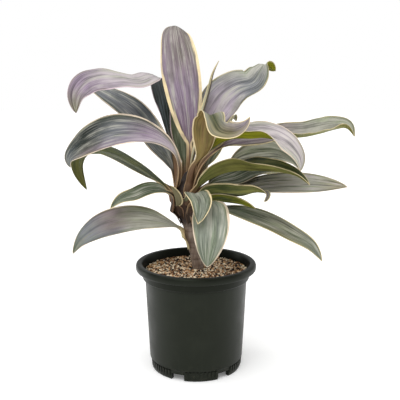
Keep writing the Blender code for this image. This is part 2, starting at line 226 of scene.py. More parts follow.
def along(points, count):
    # evenly spaced positions on a smooth path through the points
    samples = 400
    p = np.asarray(points, float)
    knots = np.concatenate([[0], np.cumsum(np.linalg.norm(np.diff(p, axis=0), axis=1) ** 0.5)])
    span = np.diff(knots)[:, None]
    rate = np.diff(p, axis=0) / span
    slope = np.zeros_like(p)
    slope[1:-1] = (rate[1:] * span[:-1] + rate[:-1] * span[1:]) / (span[1:] + span[:-1])
    slope[0] = 1.5 * rate[0] - 0.5 * slope[1]
    slope[-1] = 1.5 * rate[-1] - 0.5 * slope[-2]
    at = np.linspace(0, knots[-1], samples)
    i = np.clip(np.searchsorted(knots, at, side="right") - 1, 0, len(p) - 2)
    h = span[i]
    f = (at - knots[i])[:, None] / h
    fine = ((2 * f**3 - 3 * f**2 + 1) * p[i] + (f**3 - 2 * f**2 + f) * h * slope[i]
            + (3 * f**2 - 2 * f**3) * p[i + 1] + (f**3 - f**2) * h * slope[i + 1])
    run = np.concatenate([[0], np.cumsum(np.linalg.norm(np.diff(fine, axis=0), axis=1))])
    want = np.linspace(0, run[-1], count)
    return np.stack([np.interp(want, run, fine[:, k]) for k in range(3)], 1)


def eased(values, s):
    # a value at each s from a few given base to tip, passing smoothly from one to the next
    v = np.atleast_1d(np.asarray(values, float))
    if len(v) == 1:
        return np.repeat(v, len(s), axis=0)
    x = np.clip(s, 0, 1) * (len(v) - 1)
    i = np.clip(x.astype(int), 0, len(v) - 2)
    f = x - i
    f = f * f * (3 - 2 * f)
    f = f.reshape(-1, *[1] * (v.ndim - 1))
    return v[i] * (1 - f) + v[i + 1] * f


# Geometry Nodes helpers

def nodeTree(name, inputs):
    # a tree with these inputs; gives it with the sockets that hold them and the one for its result
    tree = bpy.data.node_groups.new(name, "GeometryNodeTree")
    tree.interface.new_socket("Geometry", in_out="INPUT", socket_type="NodeSocketGeometry")
    for label, kind in inputs:
        tree.interface.new_socket(label, in_out="INPUT", socket_type="NodeSocket" + kind)
    tree.interface.new_socket("Geometry", in_out="OUTPUT", socket_type="NodeSocketGeometry")
    given, result = tree.nodes.new("NodeGroupInput"), tree.nodes.new("NodeGroupOutput")
    return tree, given.outputs, result.inputs["Geometry"]


def step(tree, kind, settings=None, out=0, **inputs):
    # adds a node and gives one output; an input goes by its name, or by the letter i and its number
    node = tree.nodes.new(kind)
    for name, value in (settings or {}).items():
        setattr(node, name, value)
    for name, value in inputs.items():
        key = int(name[1:]) if name[1:].isdigit() else name.replace("_", " ")
        put(node.inputs[key], value)
    return node.outputs[out]


def grown(item, tree, values):
    # runs the tree on the item and leaves its result there as a plain mesh
    modifier = item.modifiers.new(tree.name, "NODES")
    modifier.node_group = tree
    for socket in tree.interface.items_tree:
        if socket.in_out == "INPUT" and socket.name in values:
            modifier[socket.identifier] = values[socket.name]
    graph = bpy.context.evaluated_depsgraph_get()
    graph.update()
    mesh = bpy.data.meshes.new_from_object(item.evaluated_get(graph))
    item.modifiers.remove(modifier)
    result = bpy.data.objects.new(item.name, mesh)
    scene.collection.objects.link(result)
    name = item.name
    bpy.data.objects.remove(item)
    result.name = name
    return result


# Camera, lights and floor

cameraLook = {
    "place": (5.5, -901.6, 405.0), "down": 10.75, "focal": 680.0, "picture": 400.0, "sensor": 36.0,
    "clip": (0.05, 20),
}


def makeCamera(look):
    data = bpy.data.cameras.new("camera")
    data.sensor_width = look["sensor"]
    data.lens = look["focal"] / look["picture"] * look["sensor"]
    data.clip_start, data.clip_end = look["clip"]
    camera = bpy.data.objects.new("camera", data)
    camera.location = [v * mm for v in look["place"]]
    camera.rotation_euler = (math.radians(90 - look["down"]), 0, 0)
    scene.collection.objects.link(camera)
    scene.camera = camera


studioLook = {
    "backdrop": 1.0, "fill": 0.62,
    "sky": {"from": (-0.1, -0.25, 1.0), "spread": 76.0, "strength": 1.9},
    "lamps": {  # place and aim in metres, width, height, watts
        "keySoftbox": ((-0.4, -1.2, 1.5), (0, 0, 0.25), 0.9, 0.9, 5.0),
        "leftStrip": ((-1.1, 0.3, 0.5), (0, 0, 0.15), 0.3, 1.1, 3.0),
        "rightStrip": ((1.15, 0.3, 0.45), (0, 0, 0.15), 0.3, 1.1, 2.2),
    },
    "floor": (252, 252, 252), "floorReach": 6000, "floorRough": 0.9, "floorGloss": 0.1, "floorGlow": 0.14,
}


def makeLamp(name, kind, place, aim, energy):
    data = bpy.data.lights.new(name, kind)
    data.energy = energy
    lamp = bpy.data.objects.new(name, data)
    lamp.location = place
    lamp.rotation_euler = (Vector(aim) - Vector(place)).to_track_quat("-Z", "Y").to_euler()
    scene.collection.objects.link(lamp)
    return data


def makeStudio(look):
    scene.view_settings.view_transform = "Standard"
    world = bpy.data.worlds.new("studio")
    scene.world = world
    world.use_nodes = True
    tree = world.node_tree
    sky = tree.nodes["Background"]
    sky.inputs["Color"].default_value = (1, 1, 1, 1)
    # the bare backdrop is white, and lights the plant more softly
    seen = tree.nodes.new("ShaderNodeLightPath").outputs["Is Camera Ray"]
    glow = calc("MULTIPLY_ADD", seen, look["backdrop"] - look["fill"], look["fill"])
    put(sky.inputs["Strength"], glow)
    broad = makeLamp("ceiling", "SUN", look["sky"]["from"], (0, 0, 0), look["sky"]["strength"])
    broad.angle = math.radians(look["sky"]["spread"])
    for name, (place, aim, width, height, watts) in look["lamps"].items():
        softbox = makeLamp(name, "AREA", place, aim, watts)
        softbox.shape, softbox.size, softbox.size_y = "RECTANGLE", width, height
    paper, tree, shader = newMaterial("paperFloor")
    for name, value in (("Base Color", (*linear(look["floor"]), 1)), ("Roughness", look["floorRough"]),
                        ("Specular IOR Level", look["floorGloss"]), ("Emission Color", (1, 1, 1, 1)),
                        ("Emission Strength", look["floorGlow"])):
        put(shader.inputs[name], value)
    reach = look["floorReach"]
    corners = [(-reach, -reach, 0), (reach, -reach, 0), (reach, reach, 0), (-reach, reach, 0)]
    floor = meshObject("floor", corners, [(0, 1, 2, 3)], [paper])


makeCamera(cameraLook)
makeStudio(studioLook)
print("ti plant: camera and studio made")


# Pot

potLook = {
    "sides": 168, "wall": 2.0, "feet": 6, "footRing": 58.0, "notchWidth": 18.0, "notchHeight": 9.0,
    "notchDepth": 18.0, "frontFoot": -83.0, "teeth": 78, "toothRadius": 62.7, "toothSize": (1.6, 2.5, 8.4),
    "toothHeight": 9.2, "toothLean": 6.0, "toothClear": 1.5, "sharp": 32,
    "body": (16, 18, 14), "worn": (34, 37, 31), "dust": (84, 80, 70), "roughness": 0.4,
    "gloss": 0.2, "sheen": (0.9, 1.0, 0.78), "lipPaintedShade": 0.8, "innerPaintedShade": 0.6,
    "mottle": 30, "turnLines": (6, 6, 700), "flow": (120, 120, 9), "dustGrain": 160, "pores": 1100,
    # in metres: where the dust ends, the lip begins, and the wall's inside is, by radius and by height
    "dustTop": 0.03, "lip": (0.134, 0.139), "innerWall": (0.075, 0.073), "innerTop": (0.12, 0.13),
}


def potPlastic(look):
    made, tree, shader = newMaterial("blackPotPlastic")
    place = objectPlace(tree)
    height = step(tree, "ShaderNodeSeparateXYZ", out="Z", Vector=place)
    flat = step(tree, "ShaderNodeVectorMath", {"operation": "MULTIPLY"}, i0=place, i1=(1, 1, 0))
    radius = step(tree, "ShaderNodeVectorMath", {"operation": "LENGTH"}, "Value", i0=flat)
    mottle = cloud(place, look["mottle"], 4)
    turnLines = cloud(place, 1, 2, stretch=look["turnLines"])
    flow = cloud(place, 1, 3, stretch=look["flow"])
    worn = linear(look["worn"])
    base = mixed(spread(mottle, 0.4, 0.75, 0, 0.35), linear(look["body"]), worn)
    base = mixed(spread(flow, 0.55, 0.8, 0, 0.3), base, worn)
    dusty = spread(cloud(place, look["dustGrain"], 4), 0.5, 0.75, 0, 0.3)
    dusty = times(spread(height, 0.0, look["dustTop"], 1, 0), dusty)
    base = mixed(dusty, base, linear(look["dust"]))
    # painted shade: the top of the lip is painted darker than the rest of the plastic, and reflects less
    lip = spread(height, *look["lip"], 0, 1 - look["lipPaintedShade"])
    base = mixed(lip, base, (0, 0, 0))
    # painted shade: the wall's inside below the rim is darkened towards black and reflects less, as if in
    # shadow
    inner = spread(radius, *look["innerWall"], 0, 1 - look["innerPaintedShade"])
    inner = times(inner, spread(height, *look["innerTop"]))
    base = mixed(inner, base, (0, 0, 0))
    shader.inputs["Specular Tint"].default_value = (*look["sheen"], 1)
    gloss = calc("MULTIPLY_ADD", inner, -0.1, look["gloss"])
    put(shader.inputs["Specular IOR Level"], times(calc("MULTIPLY_ADD", lip, -0.6, 1.0), gloss))
    rough = calc("ADD", spread(mottle, 0.3, 0.8, -0.05, 0.1), look["roughness"])
    grain = calc("ADD", turnLines, times(cloud(place, look["pores"], 2), 0.5))
    coat(shader, base, rough, grain, strength=0.2, distance=0.0003)
    return made


def teethTree():
    # a ring of upright teeth round the foot of the wall, with none over a drain notch
    tree, given, result = nodeTree("footTeeth", [
        ("Count", "Int"), ("Radius", "Float"), ("Tooth Size", "Vector"), ("Height", "Float"),
        ("Lean", "Float"), ("Front Foot", "Float"), ("Half Pitch", "Float"), ("Half Foot", "Float"),
        ("Plastic", "Material")])
    ring = step(tree, "GeometryNodeMeshCircle", Vertices=given["Count"], Radius=given["Radius"])
    spots = step(tree, "GeometryNodeMeshToPoints", Mesh=ring)
    place = step(tree, "GeometryNodeInputPosition")
    x, y = (step(tree, "ShaderNodeSeparateXYZ", out=axis, Vector=place) for axis in "XY")
    angle = calc("ARCTAN2", y, x)
    fromFoot = calc("SUBTRACT", angle, given["Front Foot"])
    fromFoot = calc("PINGPONG", fromFoot, given["Half Pitch"])
    onFoot = calc("LESS_THAN", fromFoot, given["Half Foot"])
    turn = step(tree, "ShaderNodeCombineXYZ", Y=given["Lean"], Z=angle)
    tooth = step(tree, "GeometryNodeMeshCube", Size=given["Tooth Size"])
    copies = step(tree, "GeometryNodeInstanceOnPoints", Points=spots, Selection=onFoot, Instance=tooth,
                  Rotation=turn)
    lift = step(tree, "ShaderNodeCombineXYZ", Z=given["Height"])
    real = step(tree, "GeometryNodeRealizeInstances", Geometry=copies)
    raised = step(tree, "GeometryNodeSetPosition", Geometry=real, Offset=lift)
    painted = step(tree, "GeometryNodeSetMaterial", Geometry=raised, Material=given["Plastic"])
    put(result, painted)
    return tree


def cutNotch(pot, look, turn):
    wide = 2 * look["footRing"] * math.tan(math.radians(look["notchWidth"] / 2))
    size = (look["notchDepth"], wide, 2 * look["notchHeight"])
    middle = look["footRing"] + look["notchDepth"] / 4
    cosTurn, sinTurn = math.cos(turn), math.sin(turn)
    box = bmesh.new()
    bmesh.ops.create_cube(box, size=1)
    for vert in box.verts:
        x, y, z = (a * b for a, b in zip(vert.co, size))
        x += middle
        vert.co = Vector((x * cosTurn - y * sinTurn, x * sinTurn + y * cosTurn, z)) * mm
    mesh = bpy.data.meshes.new("notch")
    box.to_mesh(mesh)
    box.free()
    cutter = bpy.data.objects.new("notch", mesh)
    scene.collection.objects.link(cutter)
    cutAway(pot, cutter)


def makePot(look):
    wall = look["wall"]
    outside = [
        (0, 9.5), (54.6, 9.5), (55.2, 8.8), (55.5, 0.4), (56.0, 0), (60.3, 0), (61.3, 0.4), (61.9, 1.4),
        (62.3, 4), (62.6, 13.0), (63.2, 14.2), (64.2, 15), (64.5, 17), (69.7, 124.4), (70.1, 125.8),
        (71.2, 126.5), (72.4, 126.8), (73.0, 127.5), (73.2, 129), (73.4, 137.6), (74.0, 138.2),
        (80.0, 138.0), (81.3, 138.5), (82.1, 139.6), (82.5, 141.8), (82.4, 144.6), (81.8, 146.4),
        (80.6, 147.6), (78.8, 148), (76.0, 148), (74.6, 147.6), (73.8, 146.7), (73.4, 145.2)]
    inside = [
        (73.3 - wall, 138), (73.0 - wall, 128.4), (69.7 - wall, 126), (64.3 - wall, 15.5), (60.4, 12.6),
        (57.5, 11.5), (0, 11.5)]
    points, faces = turned(outside + inside, look["sides"])
    plastic = potPlastic(look)
    pot = meshObject("nurseryPot", points, faces, [plastic])
    faceOutwards(pot, weldReach)
    frontFoot, halfPitch = math.radians(look["frontFoot"]), math.pi / look["feet"]
    for k in range(look["feet"]):
        cutNotch(pot, look, frontFoot + (2 * k + 1) * halfPitch)
    pot.data.materials.clear()
    pot.data.materials.append(plastic)
    for face in pot.data.polygons:
        face.material_index = 0
    pot.data.shade_smooth()
    pot.data.set_sharp_from_angle(angle=math.radians(look["sharp"]))
    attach(pot, "root")
    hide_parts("pot")

    halfFoot = halfPitch - math.radians(look["notchWidth"] / 2 + look["toothClear"])
    teeth = grown(meshObject("footTeeth", [(0, 0, 0)], [], []), teethTree(), {
        "Count": look["teeth"], "Radius": look["toothRadius"] * mm, "Height": look["toothHeight"] * mm,
        "Tooth Size": [v * mm for v in look["toothSize"]], "Lean": math.radians(look["toothLean"]),
        "Front Foot": frontFoot, "Half Pitch": halfPitch, "Half Foot": halfFoot, "Plastic": plastic})
    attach(teeth, "root")


makePot(potLook)
print("ti plant: pot made")


# Potting mix: an uneven dark body under a scatter of bark chips

mixLook = {
    "level": 136.8, "hole": (3.0, 8.8, 60.0, 160.0), "reach": 69.0, "stemGap": 9.5, "waves": 90,
    "waveHeight": 1.2, "waveDrop": 0.5, "bodySides": 96, "holeSides": 32, "topSides": 64,
    "chips": 2600, "seed": 4, "toneSeed": 91, "chipShapes": 6, "firstShape": 20, "chipTilt": 0.55,
    "chipSmall": 0.42, "chipLarge": 1.0, "chipSize": ((3.8, 5.4), (2.2, 3.4), (1.3, 2.2)), "chipDent": 0.35,
    "chipBevel": 0.16, "chipTaper": 0.35, "fibre": 700, "crumb": 420, "chipRough": 0.85, "soilRough": 0.95,
    "soil": (14, 10, 8), "dark": (26, 17, 12), "brown": (112, 74, 46), "gold": (206, 160, 112),
    "pale": (255, 240, 212),
}


def barkMaterial(look):
    made, tree, shader = newMaterial("barkChips")
    place = objectPlace(tree)
    tone = attribute(tree, "chipTone")
    fibre = cloud(place, look["fibre"], 4, 0.7, (1, 0.3, 0.3))
    base = mixed(spread(tone, 0.15, 0.35), linear(look["dark"]), linear(look["brown"]))
    base = mixed(spread(tone, 0.35, 0.55), base, linear(look["gold"]))
    base = mixed(spread(tone, 0.6, 0.9), base, linear(look["pale"]))
    base = mixed(spread(fibre, 0.45, 0.75, 0, 0.6), base, linear(look["dark"]))
    coat(shader, base, look["chipRough"], fibre, strength=0.6, distance=0.0006)
    return made


def peatMaterial(look):
    made, tree, shader = newMaterial("darkPeat")
    place = objectPlace(tree)
    crumb = cloud(place, look["crumb"], 5, 0.7)
    base = mixed(spread(crumb, 0.35, 0.75), linear(look["soil"]), linear(look["dark"]))
    coat(shader, base, look["soilRough"], crumb, strength=0.8, distance=0.001)
    return made


def chipShape(name, look, seed):
    # an uneven flake of bark, at its largest about 5 mm long
    pick = np.random.default_rng(seed)
    mesh = bmesh.new()
    bmesh.ops.create_cube(mesh, size=1)
    bmesh.ops.bevel(mesh, geom=list(mesh.edges), offset=look["chipBevel"], affect="EDGES")
    length, width, height = [pick.uniform(*span) for span in look["chipSize"]]
    for vert in mesh.verts:
        x, y, z = vert.co
        taper = 1 - look["chipTaper"] * (x + 0.5) * pick.uniform(0.6, 1.2)
        vert.co = Vector((x * length, y * width * taper, z * height * (1.1 - 0.4 * abs(x)))) * mm
        vert.co += Vector(pick.uniform(-look["chipDent"], look["chipDent"], 3)) * mm
    data = bpy.data.meshes.new(name)
    mesh.to_mesh(data)
    mesh.free()
    return bpy.data.objects.new(name, data)


def scatterTree(look):
    # chips of bark strewn over the given faces, each with a tone of its own
    tree, given, result = nodeTree("scatterChips", [
        ("Density", "Float"), ("Smallest", "Float"), ("Largest", "Float"), ("Seed", "Int"),
        ("Chip Collection", "Collection"), ("Bark", "Material")])
    seed, tilt = given["Seed"], look["chipTilt"]
    spots = step(tree, "GeometryNodeDistributePointsOnFaces", Mesh=given["Geometry"],
                 Density=given["Density"], Seed=seed)
    shapes = step(tree, "GeometryNodeCollectionInfo", Collection=given["Chip Collection"],
                  Separate_Children=True, Reset_Children=True)
    turn = step(tree, "FunctionNodeRandomValue", {"data_type": "FLOAT_VECTOR"}, i0=(-tilt, -tilt, 0),
                i1=(tilt, tilt, 6.283), Seed=seed)
    size = step(tree, "FunctionNodeRandomValue", {"data_type": "FLOAT"}, 1, i2=given["Smallest"],
                i3=given["Largest"], Seed=seed)
    placed = step(tree, "GeometryNodeInstanceOnPoints", Points=spots, Instance=shapes, Pick_Instance=True,
                  Rotation=turn, Scale=size)
    tone = step(tree, "FunctionNodeRandomValue", {"data_type": "FLOAT"}, 1, i2=0.0, i3=1.0,
                Seed=look["toneSeed"])
    kept = step(tree, "GeometryNodeStoreNamedAttribute", {"data_type": "FLOAT", "domain": "INSTANCE"},
                Geometry=placed, Name="chipTone", Value=tone)
    real = step(tree, "GeometryNodeRealizeInstances", Geometry=kept)
    painted = step(tree, "GeometryNodeSetMaterial", Geometry=real, Material=given["Bark"])
    put(result, painted)
    return tree


def makeMix(look):
    level, (holeX, holeRadius, holeBottom, holeTop) = look["level"], look["hole"]
    wall = [(57.0, 11.5 + gap), (60.0, 12.9), (62.0, 15.8), (67.4, 126.2), (70.7, 128.6),
            (70.9, level - 1.4)]
    top = [(69.5, level - 0.4), (62, level - 0.2), (54, level), (46, level + 0.3), (38, level + 0.6),
           (30, level + 0.8), (22, level + 0.9), (15, level + 1), (0, level + 1)]
    points, faces = turned([(0, 11.5 + gap)] + wall + top, look["bodySides"])
    peat = peatMaterial(look)
    body = meshObject("peatBody", points, faces, [peat], smoothAngle=40)
    faceOutwards(body, weldReach)
    for vert in body.data.vertices:
        reach = math.hypot(vert.co.x, vert.co.y) / mm
        if vert.co.z > (level - 1) * mm and reach < look["reach"]:
            vert.co.z += (noise.noise(vert.co * look["waves"]) * look["waveHeight"] - look["waveDrop"]) * mm
    holeWall = [(holeRadius, holeBottom), (holeRadius, holeTop)]
    points, faces = turned([(0, holeBottom)] + holeWall + [(0, holeTop)], look["holeSides"])
    hole = meshObject("hole", np.array(points) + (holeX, 0, 0), faces, [peat])
    faceOutwards(hole, weldReach)
    cutAway(body, hole)
    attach(body, "root")
    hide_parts("potting_mix")

    shapes = bpy.data.collections.new("chipShapes")
    for k in range(look["chipShapes"]):
        shapes.objects.link(chipShape("chipShape%d" % k, look, look["firstShape"] + k))
    stemGap = look["stemGap"]
    rings = [(look["reach"], level + 0.3), (50, level + 0.9), (30, level + 1.4), (stemGap, level + 1.7)]
    points, faces = turned(rings, look["topSides"])
    bark = barkMaterial(look)
    chips = meshObject("barkChips", points, faces, [])
    area = math.pi * (look["reach"] ** 2 - stemGap**2) * mm * mm
    chips = grown(chips, scatterTree(look), {
        "Density": look["chips"] / area, "Smallest": look["chipSmall"], "Largest": look["chipLarge"],
        "Seed": look["seed"], "Chip Collection": shapes, "Bark": bark})
    for item in list(shapes.objects):
        bpy.data.objects.remove(item)
    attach(chips, "root")


makeMix(mixLook)
print("ti plant: potting mix and chips made")


# Cane

caneRings = (
    (3, 0, 60.3, 7.8), (3, 0, 141, 7.8), (-2, 0, 162, 6.9), (-6, 0, 178, 6.4), (-9, 0, 190, 6.8),
    (-10, 0, 199, 7.6), (-14, 0, 211, 10), (-16, 0, 221, 12.5), (-16, 0, 232, 13.5), (-14, 0, 243, 13.5),
    (-12, 1, 253, 12), (-10, 2, 262, 9.6), (-9, 3, 269, 6.6), (-8, 3, 273, 3.6),
)
caneLook = {
    "sides": 48, "rings": 150, "ridge": 0.45, "facets": 10, "soilLine": 141, "sink": 0.15, "rough": 0.35,
    "scarPitch": 8.0, "scarSlant": 0.9, "scarTwist": 0.9, "scarDeep": 0.8, "scarSharp": 6,
    "roughScale": (2.2, 2, 0.12), "roughRepeat": 6.9, "fibre": (420, 420, 50), "patch": 90, "roughness": 0.68,
    "bark": (112, 92, 78), "grey": (146, 130, 116), "dark": (62, 46, 38), "crown": (84, 62, 50),
    "crownDark": (36, 26, 22), "crownStart": (0.192, 0.208),
}


def caneAt(height):
    heights = [ring[2] for ring in caneRings]
    return [np.interp(height, heights, [ring[i] for ring in caneRings]) for i in (0, 1, 3)]


def caneBark(look):
    made, tree, shader = newMaterial("caneBark")
    place = objectPlace(tree)
    height = step(tree, "ShaderNodeSeparateXYZ", out="Z", Vector=place)
    fibre = cloud(place, 1, 4, 0.65, look["fibre"])
    patch = cloud(place, look["patch"], 3)
    dark = linear(look["dark"])
    base = mixed(spread(fibre, 0.35, 0.7), linear(look["bark"]), linear(look["grey"]))
    base = mixed(spread(patch, 0.5, 0.75, 0, 0.45), base, dark)
    base = mixed(times(attribute(tree, "scar"), 0.4), base, dark)
    crown = mixed(spread(fibre, 0.5, 0.75), linear(look["crownDark"]), linear(look["crown"]))
    upper = spread(height, *look["crownStart"])
    base = mixed(upper, base, crown)
    coat(shader, base, look["roughness"], fibre, strength=0.5, distance=0.0006)
    return made


def makeCane(look):
    heights = np.linspace(caneRings[0][2], caneRings[-1][2], look["rings"])
    points, scars, sides = [], [], look["sides"]
    for height in heights:
        x, y, radius = caneAt(height)
        bare = height > look["soilLine"]
        aroundScale, acrossScale, alongScale = look["roughScale"]
        for k in range(sides):
            turn = 2 * math.pi * k / sides
            slant = look["scarSlant"] * math.sin(turn + height * look["scarTwist"])
            ring = math.cos(2 * math.pi * (height + slant) / look["scarPitch"])
            scar = max(0.0, ring) ** look["scarSharp"] if bare else 0.0
            around = turn * aroundScale % look["roughRepeat"]
            rough = noise.noise(Vector((around, math.cos(turn) * acrossScale, height * alongScale)))
            raised = look["ridge"] - look["scarDeep"] * scar + rough * look["rough"] if bare else 0
            out = radius - look["sink"] + raised
            points.append((x + out * math.cos(turn), y + out * math.sin(turn), height))
            scars.append(scar)
    faces = []
    for i in range(len(heights) - 1):
        for k in range(sides):
            n, a, b = (k + 1) % sides, i * sides, (i + 1) * sides
            faces.append((a + k, a + n, b + n, b + k))
    faces.append(tuple(reversed(range(sides))))
    faces.append(tuple(range(len(points) - sides, len(points))))
    cane = meshObject("caneStem", points, faces, [caneBark(look)], smoothAngle=60)
    stored(cane, "scar", "FLOAT", scars)
    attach(cane, "root")
    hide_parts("cane")


makeCane(caneLook)
print("ti plant: cane made")


# Leaves: the foot is where a leaf leaves the cane (height, compass angle), the path its midrib from
# there. heading is the compass angle that the blade points to, roll turns it about its midrib and fold
# lifts both halves from flat, base to tip. petiole is the stalk's share of the length, belly the place
# of the blade's greatest width, and point how far the blade narrows to its ends.
leafShapes = {
    "upright": dict(foot=(260, 80), width=52, heading=80, roll=(0, 0, 0, -3, -9), fold=(20, 14, 8, -8, -16),
        petiole=0.21, belly=0.52, point=0.62, stations=16, path=((-8, 12, 280), (-9, 12, 310),
        (-13, 13, 358), (-20, 14, 404), (-25, 19, 437), (-28, 30, 457), (-28, 44, 465), (-27, 57, 465))),
    "folded": dict(foot=(259, 165), width=50, heading=(250, 248, 243, 232, 217, 207, 200, 195, 190),
        roll=(0, 0, 0, 0, 5, 18, 20, 34, 54, 52), fold=(20, 0, -5, 10), belly=0.62, stations=24,
        path=((-29, 18, 292), (-38, 28, 325), (-44, 32, 359), (-50, 35, 387), (-55, 33, 399),
        (-64, 27, 399), (-78, 19, 395), (-99, 12, 398), (-125, 6, 398), (-144, 2, 391), (-157, 0, 375),
        (-158, 0, 350))),
    "left_back": dict(foot=(248, 150), width=42, heading=150, roll=(15, 25, 30, 30), fold=14, petiole=0.12,
        belly=0.42, path=((-35, 17, 284), (-52, 25, 307), (-70, 34, 332), (-90, 46, 352), (-118, 60, 369),
        (-141, 74, 379), (-162, 84, 383))),
    "left_big": dict(foot=(251, 208), width=54, heading=180, roll=(20, 42, 48, 45, 40), fold=16,
        petiole=0.18, belly=0.6, stations=17, path=((-22, -11, 279), (-27, -14, 300), (-43, -15, 316),
        (-69, -13, 326), (-100, -7, 327), (-129, 1, 319), (-154, 8, 305), (-171, 12, 289),
        (-170, 12, 276))),
    "hanging_left": dict(foot=(232, 175), width=34, heading=180, roll=(-25, -30, -30, -35), fold=12,
        petiole=0.1, stations=17, path=((-38, 5, 248), (-60, 13, 265), (-83, 20, 279), (-111, 26, 293),
        (-136, 31, 298), (-156, 34, 294), (-164, 35, 277), (-153, 35, 242))),
    "small_left": dict(foot=(220, 200), width=32, heading=190, roll=(20, 25, 25), petiole=0.3, belly=0.4,
        path=((-31, -11, 241), (-40, -15, 248), (-52, -17, 251), (-65, -18, 249), (-80, -21, 243),
        (-97, -24, 239), (-112, -28, 228))),
    "low_left": dict(foot=(184, 210), width=48, heading=185, roll=(10, 35, 35, 30), fold=18, petiole=0.1,
        belly=0.52, stations=15, path=((-19, -8, 194), (-27, -11, 200), (-47, -17, 207), (-74, -21, 211),
        (-103, -25, 208), (-130, -27, 199), (-151, -27, 184), (-164, -26, 166))),
    "front_small": dict(foot=(234, -95), width=32, heading=-70, petiole=0.08, path=((-2, -38, 249),
        (2, -66, 251), (6, -90, 246), (5, -105, 236), (3, -112, 226))),
    "front_hanging": dict(foot=(222, -55), width=46, heading=-85, fold=14, petiole=0.12, belly=0.56,
        stations=14, path=((12, -28, 236), (19, -54, 237), (19, -82, 228), (18, -105, 213), (16, -119, 196),
        (14, -127, 177))),
    "bract": dict(foot=(229, 238), width=22, heading=225, roll=20, fold=30, petiole=0.05, belly=0.45,
        stations=8, path=((-27, -22, 244), (-33, -25, 258))),
    "spear": dict(foot=(273.7, None), width=11, heading=20, fold=50, petiole=0.05, belly=0.4, stalk=7,
        stations=10, path=((2, 0, 312), (8, -1, 344), (14, 0, 365), (19, 2, 384), (23, 4, 402),
        (30, 6, 418))),
    "upper_right": dict(foot=(261, 25), width=54, heading=20, roll=(0, -45, -62, -62, -45, -35, 40),
        fold=16, petiole=0.26, belly=0.42, point=0.64, stations=18, path=((7, 10, 300), (18, 14, 339),
        (29, 17, 360), (39, 21, 372), (55, 25, 383), (77, 29, 391), (87, 33, 405), (93, 36, 413),
        (108, 36, 405))),
    "front_curled": dict(foot=(260, -75), width=38, heading=(-75, -72, -60, -35, -20, -12, -10),
        roll=(0, 0, 5, 25, 25, -10, -40, -48, -50), fold=(30, 20, 12, 15, 30, 32), petiole=0.18, belly=0.52,
        stations=24, path=((-3, -20, 282), (9, -32, 301), (11, -38, 321), (14, -43, 342), (19, -50, 351),
        (23, -60, 344), (30, -68, 334), (41, -75, 331), (53, -80, 334), (62, -83, 342), (65, -85, 351))),
    "right_arch": dict(foot=(258, -18), width=48, heading=-10, roll=(0, 10, -12, -12, -14, -34, -38),
        fold=(40, 46, 44, 22, 18), petiole=0.25, stations=18, path=((7, -8, 292), (29, -15, 312),
        (49, -33, 321), (69, -42, 322), (86, -44, 323), (102, -47, 320), (117, -50, 311), (129, -53, 297),
        (132, -55, 281))),
    "right_long": dict(foot=(253, -48), width=48, heading=0, roll=(0, -25, -35, -25, -16, -16, -10),
        fold=(15, 15, 40, 42, 30), petiole=0.25, stations=20, path=((8, -18, 284), (22, -20, 300),
        (41, -14, 311), (65, -6, 316), (88, -2, 318), (113, -3, 319), (139, -15, 321), (158, -33, 327),
        (173, -54, 334), (184, -70, 337), (191, -86, 328))),
    "right_channel": dict(foot=(240, -70), width=46, heading=-10, roll=(15, 25, 18, -6, -12, -8),
        fold=(40, 42, 40, 30), petiole=0.12, belly=0.45, stations=15, path=((4, -20, 257), (17, -21, 266),
        (34, -23, 274), (53, -28, 279), (79, -36, 280), (107, -43, 279), (129, -47, 274), (145, -50, 263))),
    "back_right": dict(foot=(250, 20), width=42, heading=20, roll=(0, -32, -42, -40), petiole=0.36,
        path=((22, 18, 267), (44, 30, 279), (66, 38, 288), (90, 44, 292), (113, 50, 291), (133, 52, 281),
        (147, 50, 267))),
    "back_right_far": dict(foot=(246, 45), width=40, heading=35, roll=(0, -20, -20), petiole=0.25,
        path=((26, 28, 265), (62, 52, 276), (95, 72, 283), (125, 86, 286), (148, 92, 271))),
    "right_dark": dict(foot=(242, 5), width=46, heading=5, roll=(0, -30, -30), petiole=0.16, belly=0.38,
        path=((24, 8, 256), (52, 14, 262), (79, 22, 272), (107, 25, 274.5), (130, 24, 272))),
    "right_low": dict(foot=(236, -15), width=48, heading=-5, roll=(0, -25, -25), fold=15,
        path=((24, -6, 246), (53, -8, 249), (85, -12, 255), (124, -20, 258), (161, -33, 259),
        (193, -48, 260))),
    "right_small": dict(foot=(232, -45), width=28, heading=-25, roll=(0, 45, 50, 35, -20), fold=25,
        petiole=0.1, belly=0.38, point=0.5, stations=15, path=((19, -21, 247), (38, -32, 250),
        (57, -42, 251), (75, -49, 254), (90, -54, 252), (87, -56, 242))),
    "right_under": dict(foot=(226, -25), width=28, heading=-15, roll=(0, 35, 35), petiole=0.1, belly=0.45,
        path=((19, -16, 237), (38, -23, 237), (58, -28, 235), (78, -33, 229))),
    "right_lowest": dict(foot=(212, -15), width=42, heading=-15, roll=(0, -18, -20), fold=16, petiole=0.15,
        path=((22, -12, 225), (43, -20, 224), (68, -30, 219), (96, -42, 210), (123, -54, 198),
        (147, -62, 185), (161, -66, 167))),
    "crown_back": dict(foot=(248, 100), width=42, heading=92, fold=18, stations=14, path=((-16, 27, 284),
        (-17, 40, 311), (-17, 60, 340), (-17, 84, 361), (-18, 108, 372), (-18, 124, 364))),
    "hook": dict(foot=(256, 55), width=36, heading=60, fold=25, petiole=0.25, belly=0.4, stations=15,
        path=((11, 22, 272), (21, 34, 291), (31, 48, 313), (42, 60, 334), (52, 66, 342), (57, 68, 335))),
    "back_low": dict(foot=(232, 90), width=42, heading=88, fold=18, path=((-2, 36, 233), (3, 70, 227),
        (6, 102, 217), (9, 124, 202))),
    "back_left": dict(foot=(240, 140), width=40, heading=145, fold=15, path=((-43, 30, 248), (-80, 58, 265),
        (-123, 88, 283), (-159, 110, 289), (-190, 127, 284))),
    "back_side": dict(foot=(236, 50), width=42, heading=45, fold=18, path=((33, 36, 256), (78, 70, 258),
        (117, 100, 255), (154, 125, 242))),
}
